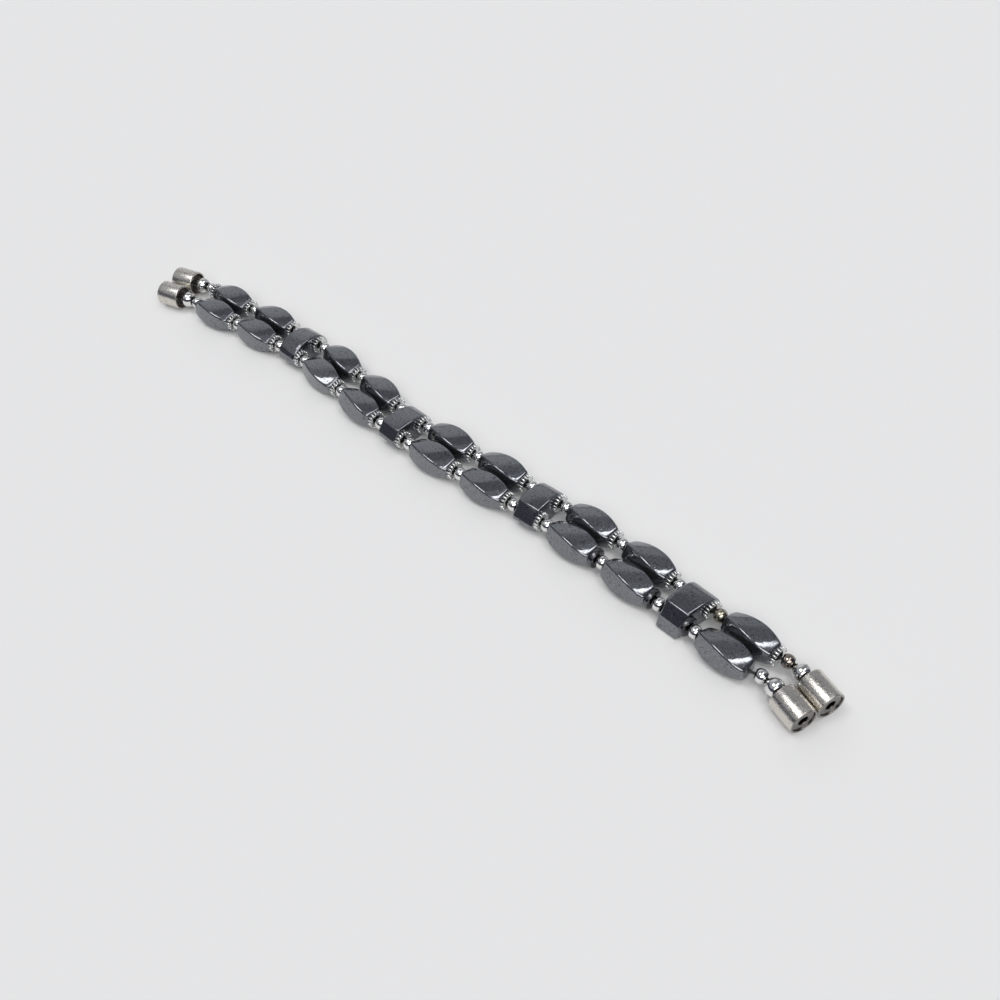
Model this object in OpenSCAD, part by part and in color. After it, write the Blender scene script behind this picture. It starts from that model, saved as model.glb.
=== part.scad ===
// Double-strand bracelet of twisted hematite beads, unfastened and laid out on a flat surface.
// Millimetres. X runs along the bracelet, from the far end (-X) to the near end (+X).
// The front strand lies towards -Y, the back strand towards +Y, and the surface is z = 0.

/* [Twist beads] */
// Length of a twist bead along its thread
bead_len = 11.6; // [10:0.1:13]
// Width of a twist bead across its narrow faces, at the middle
bead_w = 5.9; // [5.4:0.1:6.1]
// Thickness of a twist bead across its wide faces, at the middle
bead_t = 5.4; // [5:0.1:5.8]
// Size of a cut end, as a share of the middle
bead_end = 0.64; // [0.55:0.01:0.75]
// How far the section turns from one end of a bead to the other, degrees
bead_twist = 34; // [0:1:60]

/* [Spacer bars] */
// Length of a spacer bar along the threads
bar_len = 5.8; // [4.5:0.1:7]
// Width of the widest spacer bar across both strands
bar_w = 12.8; // [12:0.1:13.5]
// Radius of the upright corners of a spacer bar
bar_corner = 1; // [0.4:0.1:1.6]
// Ground edge round both ends of a spacer bar
bar_edge = 0.35; // [0.1:0.05:0.5]

/* [Silver spacers] */
// Diameter of a small ball
ball_d = 3; // [2.5:0.05:3.3]
// Length of a small ball between its flat drilled ends
ball_len = 2.35; // [2:0.05:2.6]
// Diameter of a large ball beside a clasp
end_ball_d = 3.9; // [3:0.1:4.5]
// Diameter of a ridged ring
ring_d = 4.3; // [3.4:0.1:5]
// Thickness of a ridged ring or plain disc along the thread
ring_t = 1; // [0.8:0.05:1.5]
// Number of ridges round a ring
ring_ridges = 16; // [12:1:20]
// Diameter of a plain disc
disc_d = 4.5; // [3.5:0.1:5]

/* [Clasps] */
// Outer diameter of a clasp barrel
clasp_d = 6.1; // [5.5:0.1:7]
// Length of a clasp barrel at the near end
clasp_len = 6.6; // [5:0.1:8]
// Length of a clasp barrel at the far end
far_clasp_len = 6.1; // [5:0.1:8]
// Wall of a clasp barrel
clasp_wall = 0.45; // [0.35:0.05:0.7]
// Hole through the ring magnet
magnet_hole_d = 2.2; // [1.6:0.1:2.8]

/* [Threads] */
// Diameter of a thread
thread_d = 0.6; // [0.4:0.05:0.7]
// Drilled hole through every bead, ball, ring and bar
bore_d = 1.0; // [0.9:0.05:1.2]
// Distance between the two strands
strand_pitch = 6.3; // [6.2:0.05:7]

/* [Hidden] */
// Pieces of hematite from the near end to the far end. "tilt" is how far the upper wide face of
// a bead leans from straight up towards the back, halfway along the bead, in degrees.
KIND = 0;
HEADING = 1;
FRONT_TILT = 2;
BACK_TILT = 3;
CHAIN = [
  // kind, heading in the plan, front bead's tilt, back bead's tilt
  ["bead", -2.8, 11, 13],
  ["bar", -4, 0, 0],
  ["bead", -3.2, 12, 16],
  ["bead", -0.5, 10, 11],
  ["bar", 2, 0, 0],
  ["bead", 3.6, 4, 12],
  ["bead", 3, 4, 7],
  ["bar", -2.4, 0, 0],
  ["bead", -5.4, 16, 14],
  ["bead", -5.2, 0, 7],
  ["bar", 2, 0, 0],
  ["bead", 5.5, 3, 10],
  ["bead", 6.6, 5, 5],
];
LAST = len(CHAIN) - 1;
// Heading of the pair of clasps at each end, and of the threads between them and the last beads
near_heading = -18;
far_heading = 16;
near_way = 1;
far_way = 3;

play = 0.25;           // slack between neighbours on a thread
spacer_len = ring_t + ball_len + play;
axis_z = 3.42;         // height of the threads above the surface
clasp_z = clasp_d / 2; // a clasp barrel rests on the surface
near_reach = 6.45;     // from the last beads to the middle of the large balls, measured between the strands
far_reach = 5.8;
seat = 0.1;            // how deep a large ball sits in the mouth of a clasp
wedge = 0.8;           // the first bar is this much longer at the back strand's hole than at the front's
first_shift = 1.35;    // and the back strand's first bead lies this much nearer than the front strand's
function clasp_pitch(e) = clasp_d + (e > 0 ? 0.15 : 0.2);
centre = [-85.393, 0.715];   // moves the middle of the whole bracelet to the origin

function dir(a) = [cos(a), sin(a)];
function side(a) = [-sin(a), cos(a)];
function piece_len(i) = CHAIN[i][KIND] == "bar" ? bar_len : bead_len;
function heading(i) = i < 0 ? near_heading : i > LAST ? far_heading : CHAIN[i][HEADING];

// A gap widens where the string bends, so that the spacers on the inner strand still fit
function bend(i) = abs(heading(i) - heading(i - 1));
function gap(i) = spacer_len + strand_pitch * sin(bend(i) / 2);

// Near end and middle of piece i on the centre line
function near_end(i) = i == 0 ? [0, 0]
  : near_end(i - 1) - piece_len(i - 1) * dir(heading(i - 1))
    - gap(i) * dir((heading(i) + heading(i - 1)) / 2);
function middle(i) = near_end(i) - centre - piece_len(i) / 2 * dir(heading(i));

// Point on a strand (s = -1 front, 1 back) at the near (e = 1) or far (e = -1) end of piece i
function strand_point(i, s, e) =
  middle(i) + (e * piece_len(i) / 2 + (s > 0 ? back_shift(i, e) : 0)) * dir(heading(i))
    + s * strand_pitch / 2 * side(heading(i));
function back_shift(i, e) = i == 0 ? first_shift : i == 1 && e > 0 ? wedge : 0;
// Heading of the face at the near end of piece i, which is turned a little on the wedge-shaped bar
function face_heading(i) = heading(i) - (i == 1 ? atan2(wedge, strand_pitch) : 0);

// Ends of the string: spacers, large ball, mouth and outer face of the clasp
function end_way(e) = e > 0 ? heading(-1) : heading(LAST + 1) + 180;
function end_start(e) = e > 0 ? middle(0) + bead_len / 2 * dir(heading(0))
  : middle(LAST) - bead_len / 2 * dir(heading(LAST));
function ball_reach(e) = e > 0 ? near_reach : far_reach;
function half_way(e) = e > 0 ? near_way : far_way + 180;
function end_ball_point(e, s) = end_start(e) + ball_reach(e) * dir(half_way(e))
  + s * e * clasp_pitch(e) / 2 * side(end_way(e));
function barrel_len(e) = e > 0 ? clasp_len : far_clasp_len;
function mouth_point(e, s) = end_ball_point(e, s) + (end_ball_d / 2 - seat) * dir(end_way(e));

// Places something at p in the plan, height z, with its X axis along angle a
module place(p, z, a, slope = 0) translate([p[0], p[1], z]) rotate([0, -slope, a]) children();

// A bore along X, long enough to pass through any piece
module bore(len, d = bore_d) rotate([0, 90, 0]) cylinder(h = len, d = d, center = true, $fn = 24);

// Section of a bead at angle a from the middle of the upper wide face, as a rounded rectangle:
// [towards the back, up] for a bead that leans by no tilt
section_power = 12;
function rounded(c) = sign(c) * pow(abs(c), 2 / section_power);
function section_point(a) = [bead_w / 2 * rounded(sin(a)), bead_t / 2 * rounded(cos(a))];

// Share of the full width at u, from -1 at the far end to 1 at the near end
function barrel(u) = bead_end + (1 - bead_end) * (1 - pow(abs(u), 2.2));

bead_rings = [-1, -0.97, -0.82, -0.6, -0.36, -0.12, 0.12, 0.36, 0.6, 0.82, 0.97, 1];
bead_angles = [for (q = [0:3]) for (a = [0, 5, 20, 45, 70, 85]) q * 90 + a];
end_bevel = 0.9; // the sharp rim of a cut end is ground back to this share

module twist_bead_solid() {
  n = len(bead_angles);
  m = len(bead_rings);
  points = [
    for (u = bead_rings)
      let (r = barrel(u) * (abs(u) == 1 ? end_bevel : 1), t = -bead_twist * u / 2)
      for (a = bead_angles)
        let (p = r * section_point(a))
        [u * bead_len / 2, p[0] * cos(t) + p[1] * sin(t), p[1] * cos(t) - p[0] * sin(t)]
  ];
  sides = [
    for (k = [0:m - 2]) for (j = [0:n - 1])
      let (a = k * n + j, b = k * n + (j + 1) % n)
      [[a, b, b + n], [a, b + n, a + n]]
  ];
  faces = concat(
    [for (s = sides) s[0]], [for (s = sides) s[1]],
    [[for (j = [n - 1:-1:0]) j]], [[for (j = [0:n - 1]) (m - 1) * n + j]]);
  polyhedron(points, faces, convexity = 4);
}

// Bead of piece i on strand s, turned about its thread
module twist_bead(i, s) {
  tilt = CHAIN[i][s < 0 ? FRONT_TILT : BACK_TILT];
  p = (strand_point(i, s, -1) + strand_point(i, s, 1)) / 2;
  color("slategray")
    place(p, axis_z, heading(i)) difference() {
      rotate([-tilt, 0, 0]) twist_bead_solid();
      bore(bead_len + 2);
    }
}

// Each bar is ground to its own section: [top height, ridge, knee and its height, widest line at the
// front and its height, foot, widest line at the back]. The top falls from the ridge over a steep
// bevel to the knee. A bar with its ridge at the middle is rounded on both sides, with no bevel.
BAR_SECTIONS = [
  [6, -2.7, -4.8, 3.1, -5.8, 0.4, -5.4, 6.4],
  [6.2, -2.9, -5.4, 3.1, -5.6, 2.4, -4, 6.2],
  [6.2, -3.7, -5.6, 3.9, -5.7, 2.8, -4, 6.2],
  [6.5, 0, -5.3, 2.6, -5.3, 2.4, -3.7, 6.4],
];
back_side_z = 1.8; // height of the widest line on the back

// Quarter of an ellipse from the top at [y, z] out to the side of width w at height low
function shoulder(y, z, w, low, n = 7) = [
  for (k = [0:n]) let (a = 90 * k / n) [y + (w - y) * sin(a), low + (z - low) * cos(a)]
];
function bar_front(b) = b[1] == 0
  ? [for (p = shoulder(0, b[0], -b[4], b[3])) [-p[0], p[1]]]
  : [[b[1], b[0]], [b[2], b[3]]];
function bar_outline(b) = concat(
  shoulder(b[1] + (b[1] == 0 ? 0 : 3.5), b[0], b[7], back_side_z),
  [[b[7] - 0.8, 0], [b[6], 0], [b[4], b[5]]],
  [for (k = [len(bar_front(b)) - 1:-1:b[1] == 0 ? 1 : 0]) bar_front(b)[k]]);

// Plan of a bar whose near face gains "slant" in length from one strand's hole to the other's
module bar_plan(b, slant) {
  k = bar_corner;
  polygon([
    for (q = [0:3])
      let (y = q < 2 ? b[7] - k : b[4] + k, near = bar_len / 2 + slant * (y / strand_pitch + 0.5))
      let (x = q == 0 || q == 3 ? near - k : k - bar_len / 2)
      for (a = [0, 30, 60, 90]) [x + k * cos(q * 90 + a), y + k * sin(q * 90 + a)]
  ]);
}

// Side view: both ends are ground, apart from a slanted near end
module bar_side(top, slant) {
  x = bar_len / 2;
  near = slant > 0 ? bar_len : x;
  k = bar_edge;
  polygon([
    [-x, k], [-x + k, 0], [near - k, 0], [near, k],
    [near, top - k], [near - k, top], [-x + k, top], [-x, top - k]
  ]);
}

module spacer_bar(i, b) {
  top = b[0];
  slant = back_shift(i, 1);
  color("dimgray")
    place(middle(i), 0, heading(i)) difference() {
      intersection() {
        rotate([90, 0, 90]) translate([0, 0, -bar_len / 2]) linear_extrude(bar_len * 1.5)
          polygon(bar_outline(b));
        linear_extrude(top + 1) bar_plan(b, slant);
        rotate([90, 0, 0]) translate([0, 0, -bar_w / 2]) linear_extrude(bar_w) bar_side(top, slant);
      }
      for (s = [-1, 1]) translate([0, s * strand_pitch / 2, axis_z]) bore(bar_len + 2);
    }
}

// Ridged ring, its axis along X, centred
ridge_depth = 0.22;
module ridged_ring() {
  step = 360 / ring_ridges;
  outline = [
    for (k = [0:ring_ridges - 1]) for (h = [[-0.3, 0], [-0.12, 1], [0.12, 1], [0.3, 0]])
      let (a = (k + h[0]) * step, r = ring_d / 2 - ridge_depth * (1 - h[1]))
      [r * cos(a), r * sin(a)]
  ];
  rotate([0, 90, 0]) difference() {
    linear_extrude(ring_t, center = true) polygon(outline);
    cylinder(h = ring_t + 1, d = bore_d, center = true, $fn = 24);
  }
}

module plain_disc() {
  rotate([0, 90, 0]) difference() {
    cylinder(h = ring_t, d = disc_d, center = true, $fn = 48);
    cylinder(h = ring_t + 1, d = bore_d, center = true, $fn = 24);
  }
}

// Ball whose drilled ends are flat, "len" apart
module ball(d, len) {
  rotate([0, 90, 0]) difference() {
    intersection() {
      sphere(d = d, $fn = 16);
      cylinder(h = len, d = d + 1, center = true, $fn = 24);
    }
    cylinder(h = d + 1, d = bore_d, center = true, $fn = 24);
  }
}

// Direction and middle of the gap on the far side of piece i
function gap_from(i, s) = strand_point(i, s, -1);
function gap_to(i, s) = strand_point(i + 1, s, 1);
function gap_vector(i, s) = gap_from(i, s) - gap_to(i, s);
function gap_way(i, s) = atan2(gap_vector(i, s)[1], gap_vector(i, s)[0]);
// In each gap the ring lies flat against the far piece, and the ball fills the rest
face_gap = 0.06;
function ring_face(i, s, t) = gap_to(i, s) + (face_gap + t) * dir(face_heading(i + 1));
function ring_point(i, s) = ring_face(i, s, ring_t / 2);
function ball_point(i, s) = (ring_face(i, s, ring_t) + gap_from(i, s)) / 2;

// Gaps of the front strand that hold a plain disc in place of a ridged ring
DISC_GAPS = [0, 1, 2];
GAPS = [for (i = [0:LAST - 1]) i];
function is_disc(i, s) = s < 0 && len(search(i, DISC_GAPS)) > 0;

// The string beyond the last bead: a ring on the back strand, then the small ball, then the mouth of
// the large ball's bore, where the thread turns into the clasp's direction
function ball_mouth(e, s) = end_ball_point(e, s) - (end_ball_d / 2 + 0.4) * dir(end_way(e));
function end_vector(e, s) = ball_mouth(e, s) - end_from(e, s);
function end_row(e) = e > 0 ? 0 : LAST;
function end_from(e, s) = strand_point(end_row(e), s, e)
  + (s > 0 ? e * (face_gap + ring_t) : 0) * dir(heading(end_row(e)));
function end_dir(e, s) = atan2(end_vector(e, s)[1], end_vector(e, s)[0]);
function end_slope(e, s) = atan2(clasp_z - axis_z, norm(end_vector(e, s)));
function along_end(e, s, t) =
  let (p = end_from(e, s) + t * dir(end_dir(e, s)))
  [p[0], p[1], axis_z + (clasp_z - axis_z) * t / norm(end_vector(e, s))];
function end_small_at(e, s) = norm(end_vector(e, s)) - ball_len / 2;

module at_end(e, s, t) {
  p = along_end(e, s, t);
  place([p[0], p[1]], p[2], end_dir(e, s), end_slope(e, s)) children();
}

// Ridged ring flat against the free end of the back strand's last bead
module end_ring(e) {
  i = end_row(e);
  place(strand_point(i, 1, e) + e * (face_gap + ring_t / 2) * dir(heading(i)), axis_z, heading(i))
    ridged_ring();
}

module rings(s) {
  for (i = GAPS) if (!is_disc(i, s)) place(ring_point(i, s), axis_z, face_heading(i + 1)) ridged_ring();
  if (s > 0) for (e = [1, -1]) end_ring(e);
}

module front_rings() color("silver") rings(-1);
module back_rings() color("silver") rings(1);

module front_discs() {
  color("dimgray") for (i = DISC_GAPS) place(ring_point(i, -1), axis_z, face_heading(i + 1)) plain_disc();
}

module front_balls() {
  color("gainsboro") {
    for (i = GAPS) place(ball_point(i, -1), axis_z, gap_way(i, -1)) ball(ball_d, ball_len);
    for (e = [-1, 1]) at_end(e, -1, end_small_at(e, -1)) ball(ball_d, ball_len);
  }
}

module back_balls() {
  color("gainsboro") {
    for (i = GAPS) if (i > 0) place(ball_point(i, 1), axis_z, gap_way(i, 1)) ball(ball_d, ball_len);
    at_end(-1, 1, end_small_at(-1, 1)) ball(ball_d, ball_len);
  }
}

// Two balls on the back strand have other plating: gold beside the first bar, copper at the end
gold_len = 2.7; // the gold ball is less flattened
module gold_ball() color("darkkhaki") place(ball_point(0, 1), axis_z, gap_way(0, 1)) ball(ball_d, gold_len);
module copper_ball() color("rosybrown") at_end(1, 1, end_small_at(1, 1)) ball(ball_d, ball_len);

module end_ball(e, s) {
  color("gainsboro") place(end_ball_point(e, s), clasp_z, end_way(e)) ball(end_ball_d, end_ball_d - 0.15);
}

// Clasp barrel: a cup whose floor carries the knot, open towards the beads, with the magnet at its outer end
floor_at = 2.0;    // depth of the floor behind the mouth
floor_t = 0.8;
magnet_t = 2.4;
magnet_set_back = 0.25;
rim = 0.2;         // bevel on the outer rims
fit_gap = 0.03;    // glue line round the magnet

module clasp_barrel(e, s) {
  r = clasp_d / 2;
  w = clasp_wall;
  l = barrel_len(e);
  color("darkgray")
    place(mouth_point(e, s), clasp_z, end_way(e)) rotate([0, 90, 0]) rotate_extrude($fn = 64) polygon([
      [r - w, 0], [r - rim, 0], [r, rim], [r, l - rim], [r - rim, l], [r - w, l],
      [r - w, floor_at + floor_t], [bore_d / 2, floor_at + floor_t], [bore_d / 2, floor_at], [r - w, floor_at]
    ]);
}

module ring_magnet(e, s) {
  depth = barrel_len(e) - magnet_set_back - magnet_t / 2;
  color("gray")
    place(mouth_point(e, s) + depth * dir(end_way(e)), clasp_z, end_way(e))
      rotate([0, 90, 0]) difference() {
        cylinder(h = magnet_t, r = clasp_d / 2 - clasp_wall - fit_gap, center = true, $fn = 64);
        cylinder(h = magnet_t + 1, d = magnet_hole_d, center = true, $fn = 32);
      }
}

// Thread: one route through every bore of a strand, with a knot behind each clasp floor.
// Each point of the route is [place, radius].
knot_r = 0.85;
KNOT = [[1.6, 0.3], [1.45, 0.65], [1.1, knot_r], [0.6, knot_r], [0.25, 0.65], [0.1, 0.3]];
function inside_clasp(e, s, t) =
  let (p = mouth_point(e, s) + (floor_at + floor_t + t) * dir(end_way(e))) [p[0], p[1], clasp_z];
function knot_points(e, s) = [for (k = KNOT) [inside_clasp(e, s, k[0]), k[1]]];
function flat(p, z) = [[p[0], p[1], z], thread_d / 2];
function route(s) = concat(
  knot_points(1, s),
  [flat(end_ball_point(1, s), clasp_z), flat(ball_mouth(1, s), clasp_z)],
  s > 0 ? [flat(end_from(1, s), axis_z)] : [],
  [for (i = [0:LAST]) for (e = [1, -1]) flat(strand_point(i, s, e), axis_z)],
  s > 0 ? [flat(end_from(-1, s), axis_z)] : [],
  [flat(ball_mouth(-1, s), clasp_z), flat(end_ball_point(-1, s), clasp_z)],
  [for (k = [len(KNOT) - 1:-1:0]) knot_points(-1, s)[k]]);

thread_sides = 8;
module swept(path) {
  n = thread_sides;
  m = len(path);
  function unit(v) = v / norm(v);
  function way(k) = unit(path[k + 1][0] - path[k][0]);
  function tangent(k) = k == 0 ? way(0) : k == m - 1 ? way(m - 2) : unit(way(k - 1) + way(k));
  points = [
    for (k = [0:m - 1])
      let (t = tangent(k), u = unit(cross([0, 0, 1], t)), v = cross(t, u))
      for (j = [0:n - 1]) path[k][0] + path[k][1] * (cos(j * 360 / n) * u + sin(j * 360 / n) * v)
  ];
  faces = concat(
    [for (k = [0:m - 2]) for (j = [0:n - 1]) [k * n + j, (k + 1) * n + j, (k + 1) * n + (j + 1) % n]],
    [for (k = [0:m - 2]) for (j = [0:n - 1]) [k * n + j, (k + 1) * n + (j + 1) % n, k * n + (j + 1) % n]],
    [[for (j = [0:n - 1]) j]], [[for (j = [n - 1:-1:0]) (m - 1) * n + j]]);
  polyhedron(points, faces, convexity = 10);
}

module thread(s) color("black") swept(route(s));

// Row of the chain that holds bead or bar number k, counted from the near end
BEAD_ROWS = [for (i = [0:LAST]) if (CHAIN[i][KIND] == "bead") i];
BAR_ROWS = [for (i = [0:LAST]) if (CHAIN[i][KIND] == "bar") i];

for (k = [0:len(BEAD_ROWS) - 1]) {
  twist_bead(BEAD_ROWS[k], -1);
  twist_bead(BEAD_ROWS[k], 1);
}
for (k = [0:len(BAR_ROWS) - 1])
  spacer_bar(BAR_ROWS[k], BAR_SECTIONS[k]);
front_rings();
back_rings();
front_discs();
front_balls();
back_balls();
gold_ball();
copper_ball();
for (end = [["near", 1], ["far", -1]]) for (strand = [["front", -1], ["back", 1]]) {
  // the strand sign turns over at the far end, where the way out points along -X
  e = end[1];
  s = strand[1];
  end_ball(e, s);
  clasp_barrel(e, s);
  ring_magnet(e, s);
}
thread(-1);  // front_thread
thread(1);  // back_thread
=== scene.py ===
# %% [markdown]
# # A double-strand hematite bracelet
# The bracelet lies open on a pale surface: eighteen twisted beads on two threads, four spacer bars
# that hold the threads side by side, small metal rings and balls between the stones, and a pair of
# magnetic clasp barrels at each end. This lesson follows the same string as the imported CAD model
# and models the finished surfaces, which need softer edges and finer curves than its solids have.

# %% Load the fixed frame
import math
import bmesh
import bpy
from mathutils import Matrix, Vector


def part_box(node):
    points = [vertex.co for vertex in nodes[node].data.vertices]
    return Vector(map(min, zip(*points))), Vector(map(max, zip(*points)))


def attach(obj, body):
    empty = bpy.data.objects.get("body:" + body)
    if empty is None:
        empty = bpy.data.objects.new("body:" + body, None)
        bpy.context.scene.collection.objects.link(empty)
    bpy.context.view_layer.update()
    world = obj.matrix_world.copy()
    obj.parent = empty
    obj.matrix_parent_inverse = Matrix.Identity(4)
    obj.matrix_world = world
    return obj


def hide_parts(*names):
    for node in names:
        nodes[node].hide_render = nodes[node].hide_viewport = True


MM = 0.001
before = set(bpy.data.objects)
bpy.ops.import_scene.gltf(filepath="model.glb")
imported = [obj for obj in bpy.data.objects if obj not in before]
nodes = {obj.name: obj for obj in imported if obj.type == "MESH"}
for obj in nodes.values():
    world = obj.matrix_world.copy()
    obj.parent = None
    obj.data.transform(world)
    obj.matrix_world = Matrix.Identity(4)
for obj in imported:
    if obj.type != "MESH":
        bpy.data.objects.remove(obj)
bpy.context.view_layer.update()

# %% [markdown]
# ## The string, in millimetres
# A bracelet is laid out by walking along its thread. Each row of the chain is a pair of beads or one
# bar, with the direction in which it lies and how far each bead has rolled on its thread. The
# walk uses the same sizes as the CAD source, so each finished piece lands where its solid is.

# %% Sizes of the pieces
# BEAD_END is the width of a bead's end as a share of its middle, BEAD_TWIST is in degrees
BEAD_LEN, BEAD_W, BEAD_T, BEAD_END, BEAD_TWIST = 11.6, 5.9, 5.4, 0.64, 34
BAR_LEN, RING_T, RING_D, DISC_D = 5.8, 1.0, 4.3, 4.5
BALL_D, BALL_LEN, GOLD_LEN, END_BALL_D, END_BALL_LEN = 3.0, 2.35, 2.7, 3.9, 3.75
CLASP_D, CLASP_WALL, MAGNET_HOLE_D = 6.1, 0.45, 2.2
CLASP_LEN = {1: 6.6, -1: 6.1}  # near end and far end
STRANDS = {-1: "front", 1: "back"}
ENDS = {1: "near", -1: "far"}
# PLAY is the slack in a gap, FACE_GAP the air between a ring and the stone it lies against, and
# SEAT sets the large ball into the mouth of its clasp
BORE_D, STRAND_PITCH, PLAY, FACE_GAP, SEAT = 1.0, 6.3, 0.25, 0.06, 0.1
WEDGE, FIRST_SHIFT = 0.8, 1.35  # the first bar is a wedge, and the back strand's first bead lies nearer
AXIS_Z, CLASP_Z = 3.42, CLASP_D / 2  # height of the thread in the beads and in the clasps
SPACER_LEN = RING_T + BALL_LEN + PLAY
CENTRE = Vector((-85.393, 0.715))  # moves the middle of the whole bracelet to the origin
CHAIN = [  # kind, heading, front bead's roll, back bead's roll, from the near end to the far end
    ("bead", -2.8, 11, 13), ("bar", -4, 0, 0), ("bead", -3.2, 12, 16), ("bead", -0.5, 10, 11),
    ("bar", 2, 0, 0), ("bead", 3.6, 4, 12), ("bead", 3, 4, 7), ("bar", -2.4, 0, 0),
    ("bead", -5.4, 16, 14), ("bead", -5.2, 0, 7), ("bar", 2, 0, 0), ("bead", 5.5, 3, 10),
    ("bead", 6.6, 5, 5)]
LAST = len(CHAIN) - 1
CLASP_WAY = {1: -18, -1: 196}  # heading from the beads into the clasps, near end and far end
END_WAY = {1: 1, -1: 183}      # heading and distance from the last beads to the large balls
END_REACH = {1: 6.45, -1: 5.8}
CLASP_PITCH = {1: CLASP_D + 0.15, -1: CLASP_D + 0.2}

# %% [markdown]
# The walk starts at the near end and steps from row to row. Where two rows lie at an angle the gap
# between them grows, so that the pieces on the inner side of the bend still have their room.

# %% Walk along the string
def along(angle):
    return Vector((math.cos(math.radians(angle)), math.sin(math.radians(angle))))


def across(angle):
    return Vector((-math.sin(math.radians(angle)), math.cos(math.radians(angle))))


def row_len(row):
    return BAR_LEN if CHAIN[row][0] == "bar" else BEAD_LEN


middles = []
near_end = Vector((0, 0))
for row, (kind, heading, _, _) in enumerate(CHAIN):
    if row:
        before = CHAIN[row - 1][1]
        gap = SPACER_LEN + STRAND_PITCH * math.sin(math.radians(abs(heading - before) / 2))
        near_end = near_end - row_len(row - 1) * along(before) - gap * along((heading + before) / 2)
    middles.append(near_end - CENTRE - row_len(row) / 2 * along(heading))


def back_shift(row, end):
    """How much further the back strand's piece reaches than the front strand's."""
    if row == 0:
        return FIRST_SHIFT
    return WEDGE if row == 1 and end > 0 else 0


def face_heading(row):
    """Direction that the near face of a row looks in: the wedge turns it on the first bar."""
    turn = math.degrees(math.atan2(WEDGE, STRAND_PITCH)) if row == 1 else 0
    return CHAIN[row][1] - turn


def strand_point(row, strand, end):
    """Where the thread of a strand (-1 front, 1 back) enters a row at its near (1) or far (-1) end."""
    heading = CHAIN[row][1]
    reach = end * row_len(row) / 2 + (back_shift(row, end) if strand > 0 else 0)
    return middles[row] + reach * along(heading) + strand * STRAND_PITCH / 2 * across(heading)


def end_ball_point(end, strand):
    row = 0 if end > 0 else LAST
    start = middles[row] + end * BEAD_LEN / 2 * along(CHAIN[row][1])
    reach = END_REACH[end] * along(END_WAY[end])
    return start + reach + strand * end * CLASP_PITCH[end] / 2 * across(CLASP_WAY[end])


def mouth_point(end, strand):
    return end_ball_point(end, strand) + (END_BALL_D / 2 - SEAT) * along(CLASP_WAY[end])


span = (middles[0] - middles[-1]).length
print("rows:", len(CHAIN), "length between the first and last rows, mm:", round(span, 1))

# %% [markdown]
# ## A maker's bench
# Each kind of piece is modelled once, upright on the Z axis and in millimetres, because bevels and
# booleans behave best at sizes near one. A copy then goes to its place: it is turned to its
# thread, scaled to metres, and the place is applied, so the piece's object stays at the origin.

# %% Helpers for modelling and placing
finished = []


def clear_selection():
    bpy.ops.object.select_all(action="DESELECT")


def bench(name):
    """Names the primitive that was just added and applies its size."""
    piece = bpy.context.active_object
    piece.name = name
    bpy.ops.object.transform_apply(location=True, rotation=True, scale=True)
    return piece


def pick(kind, test):
    """In edit mode, selects the verts, edges or faces that pass a test, and nothing else."""
    bpy.ops.mesh.select_mode(type={"verts": "VERT", "edges": "EDGE", "faces": "FACE"}[kind])
    bpy.ops.mesh.select_all(action="DESELECT")
    mesh = bmesh.from_edit_mesh(bpy.context.active_object.data)
    for part in getattr(mesh, kind):
        if test(part):
            part.select_set(True)
    mesh.select_flush_mode()
    bmesh.update_edit_mesh(bpy.context.active_object.data)


def describe(what, piece):
    """Prints a bench pattern's faces and its size in millimetres."""
    sides = [round(v, 2) for v in piece.dimensions]
    print(what, len(piece.data.polygons), "faces, size", sides)


def draw_outline(name, points):
    """Draws a closed outline by extruding one vertex, fills it, and leaves it in edit mode."""
    clear_selection()
    bpy.ops.mesh.primitive_plane_add(size=1)
    piece = bench(name)
    bpy.ops.object.mode_set(mode="EDIT")
    bpy.ops.mesh.select_mode(type="VERT")
    bpy.ops.mesh.select_all(action="SELECT")
    bpy.ops.mesh.merge(type="CENTER")
    here = points[0]
    bpy.ops.transform.translate(value=here)
    for there in points[1:]:
        bpy.ops.mesh.extrude_vertices_move(TRANSFORM_OT_translate={"value": there - here})
        here = there
    bpy.ops.mesh.select_all(action="SELECT")
    bpy.ops.mesh.edge_face_add()
    return piece


def finish_modifier(piece, kind, **settings):
    modifier = piece.modifiers.new(kind.title(), kind)
    for key, value in settings.items():
        setattr(modifier, key, value)
    bpy.ops.object.modifier_apply(modifier=modifier.name)


def drill(piece, offsets, depth):
    """Cuts one or more thread holes, upright at the given [x, y] offsets."""
    for x, y in offsets:
        clear_selection()
        bpy.ops.mesh.primitive_cylinder_add(
            vertices=24, radius=BORE_D / 2, depth=depth, location=(x, y, 0))
        cutter = bpy.context.active_object
        clear_selection()
        piece.select_set(True)
        bpy.context.view_layer.objects.active = piece
        finish_modifier(piece, "BOOLEAN", object=cutter, operation="DIFFERENCE", solver="EXACT")
        bpy.data.objects.remove(cutter)


def smooth(piece, angle):
    clear_selection()
    piece.select_set(True)
    bpy.context.view_layer.objects.active = piece
    bpy.ops.object.shade_smooth_by_angle(angle=math.radians(angle))


def pose(point, z, heading, roll=0, tilt=0):
    """Matrix from the bench (Z along the thread, Y up, X to the back) to the bracelet, in metres."""
    flat = along(heading)
    tip = math.radians(tilt)
    thread = Vector((flat.x * math.cos(tip), flat.y * math.cos(tip), math.sin(tip)))
    back = Vector((-flat.y, flat.x, 0))
    up = thread.cross(back)
    lean = math.radians(roll)
    turned_back = back * math.cos(lean) - up * math.sin(lean)
    turned_up = up * math.cos(lean) + back * math.sin(lean)
    turn = Matrix((turned_back, turned_up, thread)).transposed().to_4x4()
    return Matrix.Scale(MM, 4) @ Matrix.Translation((point.x, point.y, z)) @ turn


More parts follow.
